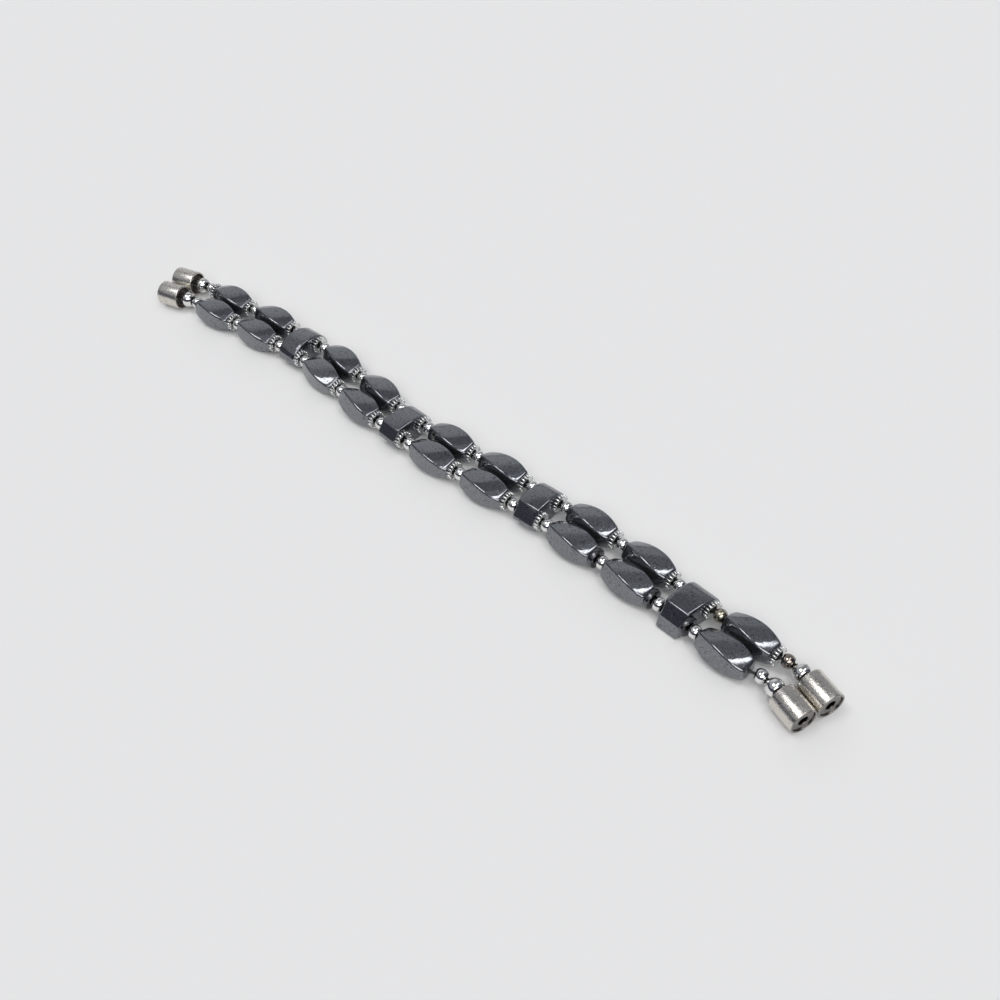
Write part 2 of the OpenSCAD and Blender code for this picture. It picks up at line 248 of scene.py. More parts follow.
def set_in_place(pattern, name, matrix):
    """Copies a bench pattern, with a mesh of its own, into its place on the bracelet."""
    clear_selection()
    pattern.select_set(True)
    bpy.context.view_layer.objects.active = pattern
    bpy.ops.object.duplicate(linked=False)
    piece = bpy.context.active_object
    piece.name = name
    piece.matrix_world = matrix
    bpy.ops.object.transform_apply(location=True, rotation=True, scale=True)
    return piece


def join(pieces, name):
    clear_selection()
    for piece in pieces:
        piece.select_set(True)
    bpy.context.view_layer.objects.active = pieces[0]
    if len(pieces) > 1:
        bpy.ops.object.join()
    piece = bpy.context.active_object
    piece.name = name
    return piece


def stand_for(piece, node, finish):
    """Ties a finished piece to the CAD node it shows."""
    for index, material in enumerate(finish if isinstance(finish, tuple) else (finish,)):
        if index < len(piece.data.materials):
            piece.data.materials[index] = material
        else:
            piece.data.materials.append(material)
    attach(piece, "root")
    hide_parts(node)
    low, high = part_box(node)
    corners = [Vector(c) for c in piece.bound_box]
    mine_low = Vector(map(min, *corners))
    mine_high = Vector(map(max, *corners))
    off = max((mine_low - low).length, (mine_high - high).length) / MM
    finished.append((off, piece.name, len(piece.data.polygons)))


print("bench ready")

# %% [markdown]
# ## Hematite
# Hematite is an iron oxide that takes a polish like dark metal: it reflects about a quarter of the
# light, a little more blue than red, and nearly all of it at a grazing angle. A metallic shader
# with a dark base colour does just that, and a tenth of plain stone keeps the shadows from going
# black. Real beads are never perfect, so fine noise makes the polish uneven and darkens specks. All
# noise reads Object coordinates, so it belongs to the piece and stays with it.

# %% Small tools for any material
def new_material(name):
    material = bpy.data.materials.new(name)
    material.use_nodes = True
    tree = material.node_tree
    return material, tree, tree.nodes["Principled BSDF"]


def add(tree, kind, **settings):
    node = tree.nodes.new(kind)
    for key, value in settings.items():
        if key in node.inputs.keys():
            node.inputs[key].default_value = value
        else:
            setattr(node, key, value)
    return node


def object_coordinates(tree, turn=0, stretch=(1, 1, 1)):
    where = add(tree, "ShaderNodeTexCoord")
    mapping = add(tree, "ShaderNodeMapping")
    mapping.inputs["Rotation"].default_value = (0, 0, math.radians(turn))
    mapping.inputs["Scale"].default_value = stretch
    tree.links.new(where.outputs["Object"], mapping.inputs["Vector"])
    return mapping.outputs["Vector"]


def noise(tree, vector, scale, detail=2.0, roughness=0.5):
    node = add(tree, "ShaderNodeTexNoise", Scale=scale, Detail=detail, Roughness=roughness)
    tree.links.new(vector, node.inputs["Vector"])
    return node.outputs["Fac"]


def ramp(tree, value, stops):
    node = add(tree, "ShaderNodeValToRGB")
    elements = node.color_ramp.elements
    while len(elements) < len(stops):
        elements.new(0.5)
    for element, (place, colour) in zip(elements, stops):
        element.position = place
        element.color = (*colour, 1) if len(colour) == 3 else colour
    tree.links.new(value, node.inputs["Fac"])
    return node.outputs["Color"]


def bump(tree, shader, height, strength, distance):
    node = add(tree, "ShaderNodeBump", Strength=strength, Distance=distance)
    tree.links.new(height, node.inputs["Height"])
    tree.links.new(node.outputs["Normal"], shader.inputs["Normal"])


print("material tools ready")

# %% Hematite's finish
def hematite_finish():
    material, tree, shader = new_material("polished_hematite")
    spot = object_coordinates(tree)
    shader.inputs["Metallic"].default_value = 0.9
    grain = noise(tree, spot, 2600, 3, 0.65)
    colour = ramp(tree, grain, [(0.31, (0.075, 0.08, 0.09)), (0.42, (0.2, 0.209, 0.225)),
                                (0.62, (0.235, 0.245, 0.262)), (0.75, (0.32, 0.33, 0.345))])
    wear = ramp(tree, noise(tree, spot, 1300, 4, 0.75), [(0.34, (0.5,) * 3), (0.44, (1.0,) * 3)])
    darkened = add(tree, "ShaderNodeMix", data_type="RGBA", blend_type="MULTIPLY")
    darkened.inputs[0].default_value = 1.0
    tree.links.new(colour, darkened.inputs[6])
    tree.links.new(wear, darkened.inputs[7])
    tree.links.new(darkened.outputs[2], shader.inputs["Base Color"])
    polish = ramp(tree, noise(tree, spot, 900, 2), [(0.35, (0.03,) * 3), (0.7, (0.09,) * 3)])
    tree.links.new(polish, shader.inputs["Roughness"])
    pits = ramp(tree, noise(tree, spot, 3000, 3, 0.6), [(0.26, (0.0,) * 3), (0.36, (1.0,) * 3)])
    bump(tree, shader, pits, 0.22, 0.00005)
    return material


hematite = hematite_finish()
print("material:", hematite.name)

# %% [markdown]
# ## The twist bead
# A twist bead is a four-sided stone, swollen in the middle, cut flat at both ends and turned like a
# screw. By hand it starts as a box: its long edges are cut into rings, the flat sides get a slight
# swell, each ring is scaled to the barrel's width, the last few follow a quarter circle because a
# tumbled stone has no sharp rim, and the Twist of a Simple Deform turns the whole. A bevel then
# rounds the four long edges, which catch a thin line of light with a dark line beside it.

# %% Model one twist bead
RIM_DEEP, RIM_IN, RIM_STEPS = 0.09, 0.15, 6  # rounding of the ends, as shares of half the size
BARREL_POWER = 2.2           # how squarely the outline swells towards the middle
CORNER = 0.944               # the CAD section's corner, as a share of the swollen side
RING_CUTS, SIDE_CUTS = 31, 5
LONG_EDGE_ROUND = 0.6
SPREAD, ASIDE = 10, 1000     # the rings are pulled apart, and set aside once they are placed


def bead_ring(index, count):
    """Place u (-1 to 1) and width of one ring of a bead, counted from its far end."""
    side = 1 if index >= count / 2 else -1
    outer = count - 1 - index if side > 0 else index
    if outer < RIM_STEPS:
        turn = math.pi / 2 * (1 - outer / RIM_STEPS)
        u = 1 - RIM_DEEP * (1 - math.sin(turn))
        ease = 1 - RIM_IN * (1 - math.cos(turn))
    else:
        u = (1 - RIM_DEEP) * (1 - 2 * (outer - RIM_STEPS) / (count - 1 - 2 * RIM_STEPS))
        ease = 1
    return side * u, ease * (BEAD_END + (1 - BEAD_END) * (1 - abs(u) ** BARREL_POWER))


def model_bead():
    clear_selection()
    bpy.ops.mesh.primitive_cube_add(size=1, scale=(BEAD_W, BEAD_T, BEAD_LEN))
    bead = bench("bead_pattern")
    bpy.ops.object.mode_set(mode="EDIT")
    pick("edges", lambda e: abs(e.verts[0].co.z - e.verts[1].co.z) > 0.1)
    bpy.ops.mesh.subdivide(number_cuts=RING_CUTS)
    pick("edges", lambda e: abs(e.verts[0].co.z - e.verts[1].co.z) < 0.01)
    bpy.ops.mesh.subdivide(number_cuts=SIDE_CUTS, quadcorner="INNERVERT")
    bpy.ops.mesh.select_all(action="SELECT")
    bpy.ops.transform.resize(value=(CORNER, CORNER, 1), center_override=(0, 0, 0))
    half = {0: BEAD_W / 2 * CORNER, 1: BEAD_T / 2 * CORNER}
    for side, rest in ((0, 1), (1, 0)):
        for step in (0, 1, 2):
            share = step / 3
            swell = 1 + (1 / CORNER - 1) * (1 - share ** 2)
            pick("verts", lambda v: abs(abs(v.co[side]) - half[side]) < 0.02
                 and abs(abs(v.co[rest]) / half[rest] - share) < 0.05)
            value = [1, 1, 1]
            value[side] = swell
            bpy.ops.transform.resize(value=value, center_override=(0, 0, 0))
    heights = sorted({round(v.co.z, 3) for v in bmesh.from_edit_mesh(bead.data).verts})
    bpy.ops.mesh.select_all(action="SELECT")
    bpy.ops.transform.resize(value=(1, 1, SPREAD), center_override=(0, 0, 0))
    for index, height in enumerate(heights):
        u, size = bead_ring(index, len(heights))
        pick("verts", lambda v: abs(v.co.z - SPREAD * height) < 0.01)
        bpy.ops.transform.resize(value=(size, size, 1), center_override=(0, 0, SPREAD * height))
        bpy.ops.transform.translate(value=(0, 0, ASIDE + u * BEAD_LEN / 2 - SPREAD * height))
    bpy.ops.mesh.select_all(action="SELECT")
    bpy.ops.transform.translate(value=(0, 0, -ASIDE))
    bpy.ops.object.mode_set(mode="OBJECT")
    finish_modifier(bead, "SIMPLE_DEFORM", deform_method="TWIST", deform_axis="Z",
                    angle=math.radians(BEAD_TWIST))
    finish_modifier(bead, "BEVEL", width=LONG_EDGE_ROUND, segments=5, limit_method="ANGLE",
                    angle_limit=math.radians(35))
    drill(bead, [(0, 0)], BEAD_LEN + 2)
    smooth(bead, 40)
    return bead


bead_pattern = model_bead()
describe("bead:", bead_pattern)

# %% [markdown]
# The pattern is copied eighteen times. On a real string no two beads sit alike, so each copy is
# rolled about its thread by the angle that the chain gives.

# %% String the beads
bead_rows = [row for row, values in enumerate(CHAIN) if values[0] == "bead"]
for number, row in enumerate(bead_rows, 1):
    heading = CHAIN[row][1]
    for strand, name in STRANDS.items():
        roll = CHAIN[row][2 if strand < 0 else 3]
        place = (strand_point(row, strand, 1) + strand_point(row, strand, -1)) / 2
        matrix = pose(place, AXIS_Z, heading, roll)
        bead = set_in_place(bead_pattern, f"{name}_twist_bead_{number}", matrix)
        stand_for(bead, f"{name}_bead_{number}", hematite)
bpy.data.objects.remove(bead_pattern)
print("beads strung:", 2 * len(bead_rows))

# %% [markdown]
# ## The spacer bars
# A spacer bar has two holes and keeps the strands apart. Each is ground a little differently: a
# flat or gently domed top, a steep dark bevel along the front, and a rounded back. The section is
# drawn point by point by extruding one vertex, filled, pulled out along the thread, and the ends
# are rounded by a few small insets, as a polishing wheel would leave them.

# %% Draw the section of a bar
# top height, ridge, knee and its height, widest line at the front and its height, foot, back
BAR_SECTIONS = [
    (6.0, -2.7, -4.8, 3.1, -5.8, 0.4, -5.4, 6.4), (6.2, -2.9, -5.4, 3.1, -5.6, 2.4, -4.0, 6.2),
    (6.2, -3.7, -5.6, 3.9, -5.7, 2.8, -4.0, 6.2), (6.5, 0.0, -5.3, 2.6, -5.3, 2.4, -3.7, 6.4)]
BACK_SIDE_Z = 1.8
FLAT_TOP, FOOT_IN = 3.5, 0.8  # how far the top runs back from the ridge, and the foot in from the back
LOW_ROUND, FRONT_ROUND, KNEE_ROUND, RIDGE_ROUND = 0.6, 0.5, 0.28, 0.22
END_ROUND, SIDE_ROUND, TOP_ROUND = 0.7, 1.0, 0.4  # along the thread, across the bar, up and down
BAR_MIDDLE = 0.3  # the section reaches a little further back than forward


def shoulder(y, z, width, low, steps=18):
    turns = [math.pi / 2 * k / steps for k in range(steps + 1)]
    return [(y + (width - y) * math.sin(a), low + (z - low) * math.cos(a)) for a in turns]


def eased(points, sharp):
    """Rounds the listed corners of an outline by their radius with three short steps."""
    out = []
    for k, point in enumerate(points):
        radius = sharp.get(k)
        if not radius:
            out.append(point)
            continue
        p = Vector(point)
        before, after = Vector(points[k - 1]), Vector(points[(k + 1) % len(points)])
        a = p + (before - p).normalized() * min(radius, (before - p).length * 0.45)
        b = p + (after - p).normalized() * min(radius, (after - p).length * 0.45)
        for t in (0, 0.33, 0.67, 1):
            out.append(tuple(a.lerp(p, t).lerp(p.lerp(b, t), t)))
    return out


def bar_outline(top, ridge, knee, knee_z, wide, wide_z, foot, back):
    domed = ridge == 0
    points = shoulder(0 if domed else ridge + FLAT_TOP, top, back, BACK_SIDE_Z)
    count = len(points)
    points += [(back - FOOT_IN, 0), (foot, 0), (wide, wide_z)]
    sharp = {count: LOW_ROUND, count + 1: LOW_ROUND, count + 2: FRONT_ROUND}
    if domed:
        points += [(-y, z) for y, z in reversed(shoulder(0, top, -wide, knee_z)[1:])]
    else:
        points += [(knee, knee_z), (ridge, top)]
        sharp.update({count + 3: KNEE_ROUND, count + 4: RIDGE_ROUND})
    return eased(points, sharp)


print("sections drawn for", len(BAR_SECTIONS), "bars")


# %% Model a bar
def model_bar(number, section, slant):
    """Pulls a section out along the thread, rounds both ends, and slants the near end if asked."""
    outline = [(y, z - AXIS_Z) for y, z in bar_outline(*section)]
    bar = draw_outline(f"bar_pattern_{number}",
                       [Vector((y, z, -BAR_LEN / 2 + END_ROUND)) for y, z in outline])
    bpy.ops.mesh.extrude_region_move(TRANSFORM_OT_translate={"value": (0, 0, BAR_LEN - 2 * END_ROUND)})
    bpy.ops.mesh.select_all(action="SELECT")
    bpy.ops.mesh.normals_make_consistent(inside=False)
    low = min(z for _, z in outline)
    high = max(z for _, z in outline)
    middle = Vector((BAR_MIDDLE, (low + high) / 2, 0))
    for end in (-1, 1):
        pick("faces", lambda f: f.normal.z * end > 0.99 and len(f.verts) > 8)
        wide, tall = (section[-1] - section[4]) / 2, (high - low) / 2
        inward, forward = 0.0, 0.0
        for angle in (math.radians(18 * k) for k in (1, 2, 3, 4, 5)):  # to a quarter turn
            new_in, new_on = 1 - math.cos(angle), END_ROUND * math.sin(angle)
            shrink = ((wide - SIDE_ROUND * new_in) / (wide - SIDE_ROUND * inward),
                      (tall - TOP_ROUND * new_in) / (tall - TOP_ROUND * inward), 1)
            step = (0, 0, end * (new_on - forward))
            bpy.ops.mesh.extrude_region_move(TRANSFORM_OT_translate={"value": step})
            bpy.ops.transform.resize(value=shrink, center_override=middle)
            inward, forward = new_in, new_on
    if slant:
        pick("verts", lambda v: v.co.z > 0)
        bpy.ops.transform.rotate(value=math.atan2(slant, STRAND_PITCH), orient_axis="Y",
                                 center_override=(-STRAND_PITCH / 2, 0, BAR_LEN / 2))
    bpy.ops.object.mode_set(mode="OBJECT")
    drill(bar, [(-STRAND_PITCH / 2, 0), (STRAND_PITCH / 2, 0)], BAR_LEN + 4)
    smooth(bar, 32)
    return bar


# %% Set the bars in place
bar_rows = [row for row, values in enumerate(CHAIN) if values[0] == "bar"]
for number, (row, section) in enumerate(zip(bar_rows, BAR_SECTIONS), 1):
    pattern = model_bar(number, section, back_shift(row, 1))
    bar = set_in_place(pattern, f"polished_bar_{number}", pose(middles[row], AXIS_Z, CHAIN[row][1]))
    stand_for(bar, f"spacer_bar_{number}", hematite)
    bpy.data.objects.remove(pattern)
print("bars:", len(bar_rows), "faces of the last:", len(bar.data.polygons))

# %% [markdown]
# ## The metals
# The small parts are plated: bright silver on the balls, silver with black in the grooves of the
# ridged rings, partly patina and partly painted shade, dark metal on the plain discs, and one worn
# gold and one copper ball. Where a ball meets its neighbours it is darkened by tarnish and painted
# shade. Inside the clasps and round their mouths the dark colour is painted shade, and on their
# outer rims it is wear. The clasps are nickel with a pebbled, warm grey skin. Plating is nearly all
# reflection, so each finish is a metallic shader with its own tint and its own roughness.

# %% Finishes of the metal parts
def plated(name, colour, rough, blotch=0.08, dark=0.55, scale=900, turn=0, stretch=(1, 1, 1),
           scratch=0.0):
    """Metal whose colour falls to a dark share in blots, with uneven roughness and fine scratches."""
    material, tree, shader = new_material(name)
    spot = object_coordinates(tree, turn, stretch)
    shader.inputs["Metallic"].default_value = 1.0
    tone = noise(tree, spot, scale, 3, 0.6)
    low = tuple(c * dark for c in colour)
    stops = [(0.28, low), (0.46, colour), (1.0, colour)]
    tree.links.new(ramp(tree, tone, stops), shader.inputs["Base Color"])
    polish = ramp(tree, noise(tree, spot, scale * 1.7, 2),
                  [(0.3, (rough,) * 3), (0.75, (rough + blotch,) * 3)])
    tree.links.new(polish, shader.inputs["Roughness"])
    if scratch:
        bump(tree, shader, noise(tree, spot, scale * 2, 2), scratch, 0.00004)
    return material


silver = plated("silver_plate", (0.82, 0.815, 0.8), 0.05, dark=0.5)
ring_silver = plated("ring_silver", (0.8, 0.8, 0.79), 0.12, dark=0.3, scale=1500)
# black in the grooves of the rings: partly patina, partly painted shade
groove_patina_and_shade = plated("ring_grooves", (0.06, 0.06, 0.063), 0.3, scale=1500)
gunmetal = plated("dark_disc_metal", (0.14, 0.14, 0.15), 0.18)
gold = plated("worn_gold_plate", (0.44, 0.41, 0.33), 0.14, dark=0.35, scale=1500)
copper = plated("worn_copper_plate", (0.36, 0.31, 0.275), 0.08, dark=0.3, scale=1500)
# dark silver for the ends of the balls: tarnish, and painted shade where a ball meets its neighbours
tarnish_and_shade = plated("silver_tarnish", (0.1, 0.1, 0.1), 0.2, scale=1500)
magnet_metal = plated("magnet_metal", (0.19, 0.18, 0.17), 0.16, dark=0.1, scale=1100, scratch=0.8)
# dark worn plating for the clasps' outer rims, also laid inside the cups and round their mouths as painted
# shade
worn_rim_and_shade = plated("worn_clasp_rim", (0.34, 0.32, 0.3), 0.2, dark=0.1, scale=1100, scratch=0.8)
ALONG_BARREL = (0.45, 1, 1)  # the pebbles are drawn out along a clasp's own length
nickel = {end: plated(f"satin_nickel_{name}", (0.68, 0.65, 0.6), 0.18, 0.14, 0.45, 2600,
                      -CLASP_WAY[end], ALONG_BARREL, 0.8)
          for end, name in ENDS.items()}
print("metals:", len(bpy.data.materials), "materials so far")

# %% [markdown]
# ## Rings, discs and balls
# A ridged ring is a short tube with small rounded bars round its rim: one bar is a bevelled block,
# and a spin with copies repeats it. A ball is a sphere whose drilled ends are opened and bridged
# into a real hole, because a strung ball is never closed where the thread goes in.

# %% Model a tube with eased rims
def model_tube(name, radius, hole, depth, ease, sides=48):
    clear_selection()
    bpy.ops.mesh.primitive_cylinder_add(vertices=sides, radius=radius, depth=depth)
    tube = bench(name)
    bpy.ops.object.mode_set(mode="EDIT")
    pick("edges", lambda e: abs(e.verts[0].co.z - e.verts[1].co.z) < 0.01 and e.calc_length() < radius / 2)
    bpy.ops.mesh.bevel(offset=ease, segments=3)
    for end in (-1, 1):
        pick("faces", lambda f: f.normal.z * end > 0.99 and len(f.verts) >= sides)
        bpy.ops.mesh.inset(thickness=radius - ease - hole)
    pick("faces", lambda f: abs(f.normal.z) > 0.99 and len(f.verts) >= sides)
    bpy.ops.mesh.delete(type="FACE")
    pick("edges", lambda e: e.is_boundary)
    bpy.ops.mesh.bridge_edge_loops()
    bpy.ops.mesh.select_all(action="SELECT")
    bpy.ops.mesh.normals_make_consistent(inside=False)
    bpy.ops.object.mode_set(mode="OBJECT")
    smooth(tube, 35)
    return tube


# %% [markdown]
# The ring's core lies a little below the ridges and is black on its rim, partly patina and partly
# painted shade, which is what makes the grooves between the ridges read as deep.

# %% Model the ridged ring
RIDGES, RIDGE_DEPTH, RIDGE_WIDTH, RIDGE_ROUND_OFF = 16, 0.7, 0.46, 0.15
CORE_IN, CORE_THIN, CORE_EASE, DISC_EASE = 0.32, 0.06, 0.08, 0.22
RIM_FACING = 0.8  # how squarely a face has to look outwards to count as the core's rim


def model_ring():
    core = model_tube("ring_core", RING_D / 2 - CORE_IN, BORE_D / 2, RING_T - CORE_THIN, CORE_EASE)
    core.data.materials.append(ring_silver)
    core.data.materials.append(groove_patina_and_shade)
    # the core's outward rim, deep between the ridges, gets the black: partly patina, partly painted shade
    for face in core.data.polygons:
        outward = Vector((face.center.x, face.center.y, 0)).normalized().dot(face.normal)
        face.material_index = 1 if outward > RIM_FACING else 0
    clear_selection()
    bpy.ops.mesh.primitive_cube_add(size=1, scale=(RIDGE_DEPTH, RIDGE_WIDTH, RING_T),
                                    location=(RING_D / 2 - RIDGE_DEPTH / 2, 0, 0))
    ridge = bench("ring_ridge")
    bpy.ops.object.mode_set(mode="EDIT")
    bpy.ops.mesh.select_all(action="SELECT")
    bpy.ops.mesh.bevel(offset=RIDGE_ROUND_OFF, segments=2)
    bpy.ops.mesh.select_all(action="SELECT")
    bpy.ops.mesh.spin(steps=RIDGES - 1, dupli=True, angle=2 * math.pi * (RIDGES - 1) / RIDGES,
                      center=(0, 0, 0), axis=(0, 0, 1))
    bpy.ops.mesh.select_all(action="SELECT")
    bpy.ops.mesh.normals_make_consistent(inside=False)
    bpy.ops.object.mode_set(mode="OBJECT")
    ridge.data.materials.append(ring_silver)
    smooth(ridge, 50)
    return join([core, ridge], "ring_pattern")


ring_pattern = model_ring()
disc_pattern = model_tube("disc_pattern", DISC_D / 2, BORE_D / 2, RING_T, DISC_EASE)
describe("ring:", ring_pattern)

# %% [markdown]
# A sphere is cut flat at both ends with Bisect. The cut edge is extruded inwards to the size of the
# hole, and the two small circles are bridged, which makes the bore.

# %% Model a drilled ball
TARNISH_AND_SHADE_FROM = 0.4  # beyond this share of its length a ball's ends are darkened by tarnish and painted shade


def model_ball(name, size, length, segments=32, rings=24):
    clear_selection()
    bpy.ops.mesh.primitive_uv_sphere_add(segments=segments, ring_count=rings, radius=size / 2)
    ball = bench(name)
    bpy.ops.object.mode_set(mode="EDIT")
    cut = math.sqrt(size ** 2 - length ** 2) / 2
    for end in (-1, 1):
        bpy.ops.mesh.select_all(action="SELECT")
        bpy.ops.mesh.bisect(plane_co=(0, 0, end * length / 2), plane_no=(0, 0, end), clear_outer=True)
        pick("edges", lambda e: e.is_boundary and e.verts[0].co.z * end > 0)
        bpy.ops.mesh.extrude_edges_move(TRANSFORM_OT_translate={"value": (0, 0, 0)})
        bpy.ops.transform.resize(value=(BORE_D / 2 / cut, BORE_D / 2 / cut, 1), center_override=(0, 0, 0))
    pick("edges", lambda e: e.is_boundary)
    bpy.ops.mesh.bridge_edge_loops()
    bpy.ops.mesh.select_all(action="SELECT")
    bpy.ops.mesh.normals_make_consistent(inside=False)
    bpy.ops.object.mode_set(mode="OBJECT")
    ball.data.materials.append(silver)
    ball.data.materials.append(tarnish_and_shade)
    # the ends, where the ball meets its neighbours, get tarnish and painted shade
    for face in ball.data.polygons:
        face.material_index = 1 if abs(face.center.z) > TARNISH_AND_SHADE_FROM * length else 0
    smooth(ball, 40)
    return ball


ball_pattern = model_ball("ball_pattern", BALL_D, BALL_LEN)
gold_pattern = model_ball("gold_pattern", BALL_D, GOLD_LEN)
end_ball_pattern = model_ball("end_ball_pattern", END_BALL_D, END_BALL_LEN, 40, 28)
describe("ball:", ball_pattern)

# %% [markdown]
# In each gap a ring or disc lies flat against the far stone, and the ball fills the rest. Beyond the
# last beads the thread slopes down to the clasps, and the small ball slopes with it.

# %% Find places in the gaps
DISC_GAPS = (0, 1, 2)  # gaps of the front strand that hold a plain disc
THREAD_BEND = 0.4      # this far before a large ball the thread turns into its clasp's direction
rings = {-1: [], 1: []}
balls = {-1: [], 1: []}
discs = []


def end_line(end, strand):
    """Start, heading and length of the thread between the last bead and the large ball."""
    row = 0 if end > 0 else LAST
    start = strand_point(row, strand, end)
    if strand > 0:  # this strand has a ring against its last bead
        start = start + end * (FACE_GAP + RING_T) * along(CHAIN[row][1])
    mouth = end_ball_point(end, strand) - (END_BALL_D / 2 + THREAD_BEND) * along(CLASP_WAY[end])
    run = mouth - start
    return start, math.degrees(math.atan2(run.y, run.x)), run.length


def rim_ring(row, strand, end):
    """Place of a ring that lies flat against the given end of a row."""
    heading = face_heading(row)
    place = strand_point(row, strand, end) + end * (FACE_GAP + RING_T / 2) * along(heading)
    return pose(place, AXIS_Z, heading)


print("gaps on each strand:", LAST)

# %% Place rings, discs and balls
for strand, name in STRANDS.items():
    for row in range(LAST):
        plain = strand < 0 and row in DISC_GAPS
        spacer = set_in_place(disc_pattern if plain else ring_pattern, "spacer",
                              rim_ring(row + 1, strand, 1))
        (discs if plain else rings[strand]).append(spacer)
        far = strand_point(row + 1, strand, 1)
        a = far + (FACE_GAP + RING_T) * along(face_heading(row + 1))
        b = strand_point(row, strand, -1)
        way = math.degrees(math.atan2((b - far).y, (b - far).x))
        golden = strand > 0 and row == 0
        ball = set_in_place(gold_pattern if golden else ball_pattern, "gap_ball",
                            pose((a + b) / 2, AXIS_Z, way))
        if golden:
            stand_for(join([ball], "gap_ball_gold"), "gold_ball", (gold, tarnish_and_shade))
        else:
            balls[strand].append(ball)
    for end, end_name in ENDS.items():
        if strand > 0:
            last_row = 0 if end > 0 else LAST
            rings[strand].append(
                set_in_place(ring_pattern, "end_ring", rim_ring(last_row, strand, end)))
        start, heading, length = end_line(end, strand)
        share = 1 - BALL_LEN / 2 / length
        height = AXIS_Z + (CLASP_Z - AXIS_Z) * share
        tilt = math.degrees(math.atan2(CLASP_Z - AXIS_Z, length))
        place = start + share * length * along(heading)
        ball = set_in_place(ball_pattern, "end_small_ball", pose(place, height, heading, 0, tilt))
        if strand > 0 and end > 0:
            stand_for(join([ball], "end_ball_copper"), "copper_ball", (copper, tarnish_and_shade))
        else:
            balls[strand].append(ball)
        large = set_in_place(end_ball_pattern, f"{name}_large_ball_{end_name}",
                             pose(end_ball_point(end, strand), CLASP_Z, CLASP_WAY[end]))
        stand_for(large, f"{name}_end_ball_{end_name}", (silver, tarnish_and_shade))
    ridged = join(rings[strand], f"{name}_ridged_rings")
    stand_for(ridged, f"{name}_rings", (ring_silver, groove_patina_and_shade))
    small = join(balls[strand], f"{name}_small_balls")
    stand_for(small, f"{name}_balls", (silver, tarnish_and_shade))
stand_for(join(discs, "front_plain_discs"), "front_discs", gunmetal)
for pattern in (ring_pattern, disc_pattern, ball_pattern, gold_pattern, end_ball_pattern):
    bpy.data.objects.remove(pattern)
print("spacers placed")

# %% [markdown]
# ## The magnetic clasps
# A clasp barrel is a thin spun cup of nickel. Its mouth holds the large ball, and a ring magnet sits
# a little back from the outer rim. Both are bodies of revolution, so a half section is drawn point
# by point and spun once round, which gives clean rounded rims.

# %% Spin a half section
def model_spun(name, section, steps=96):
    piece = draw_outline(name, [Vector((out, 0, height)) for out, height in section])
    bpy.ops.mesh.delete(type="ONLY_FACE")
    bpy.ops.mesh.select_all(action="SELECT")
    bpy.ops.mesh.spin(steps=steps, angle=2 * math.pi, center=(0, 0, 0), axis=(0, 0, 1))
    bpy.ops.mesh.select_all(action="SELECT")
    bpy.ops.mesh.remove_doubles(threshold=0.001)
    bpy.ops.mesh.normals_make_consistent(inside=False)
    bpy.ops.object.mode_set(mode="OBJECT")
    smooth(piece, 35)
    return piece


# %% [markdown]
# The barrel's section is a thin wall with a floor across it, 2 mm behind the mouth, and a hole in
# the floor for the thread. On the outer rim the plating is dark and worn; inside the cup and round
# its mouth the dark colour is painted shade.

# %% Sections of a barrel and a magnet
FLOOR_AT, FLOOR_T, MAGNET_T, MAGNET_BACK, FIT_GAP = 2.0, 0.8, 2.4, 0.25, 0.03
RIM, INNER_RIM, MAGNET_RIM = 0.2, 0.1, 0.15  # rounding of the edges
WORN = 0.12  # the plating is worn this far down from the outer rim
radius = CLASP_D / 2
inner = radius - CLASP_WALL


def barrel_section(length):
    return eased(
        [(inner, 0), (radius, 0), (radius, length), (inner, length), (inner, FLOOR_AT + FLOOR_T),
         (BORE_D / 2, FLOOR_AT + FLOOR_T), (BORE_D / 2, FLOOR_AT), (inner, FLOOR_AT)],
        {0: INNER_RIM, 1: RIM, 2: RIM, 3: INNER_RIM})


magnet_section = eased(
    [(MAGNET_HOLE_D / 2, 0), (inner - FIT_GAP, 0), (inner - FIT_GAP, MAGNET_T),
     (MAGNET_HOLE_D / 2, MAGNET_T)],
    {corner: MAGNET_RIM for corner in range(4)})

print("barrel radius and inner radius, mm:", round(radius, 2), round(inner, 2))

# %% Spin and place barrels and magnets
magnet_pattern = model_spun("magnet_pattern", magnet_section, 64)
for end, end_name in ENDS.items():
    barrel_pattern = model_spun("barrel_pattern", barrel_section(CLASP_LEN[end]))
    barrel_pattern.data.materials.append(nickel[end])
    barrel_pattern.data.materials.append(worn_rim_and_shade)
    for face in barrel_pattern.data.polygons:  # painted shade inside and round the mouth, dark wear on the outer rim
        outward = Vector((face.center.x, face.center.y, 0)).dot(face.normal)
        darkened = outward < 0.5 or face.center.z > CLASP_LEN[end] - WORN
        face.material_index = 1 if darkened else 0
    for strand, name in STRANDS.items():
        mouth = mouth_point(end, strand)
        barrel = set_in_place(barrel_pattern, f"{name}_barrel_{end_name}",
                              pose(mouth, CLASP_Z, CLASP_WAY[end]))
        stand_for(barrel, f"{name}_clasp_{end_name}", (nickel[end], worn_rim_and_shade))
        seat = mouth + (CLASP_LEN[end] - MAGNET_BACK - MAGNET_T) * along(CLASP_WAY[end])
        magnet = set_in_place(magnet_pattern, f"{name}_ring_magnet_{end_name}",
                              pose(seat, CLASP_Z, CLASP_WAY[end]))
        stand_for(magnet, f"{name}_magnet_{end_name}", magnet_metal)
    bpy.data.objects.remove(barrel_pattern)
bpy.data.objects.remove(magnet_pattern)
print("clasps placed")

# %% [markdown]
# ## The threads
# The thread runs hidden through every hole and shows only as a dark line in the gaps, so the CAD
# solid is kept. It gets a dark fibre finish with a fine twist.

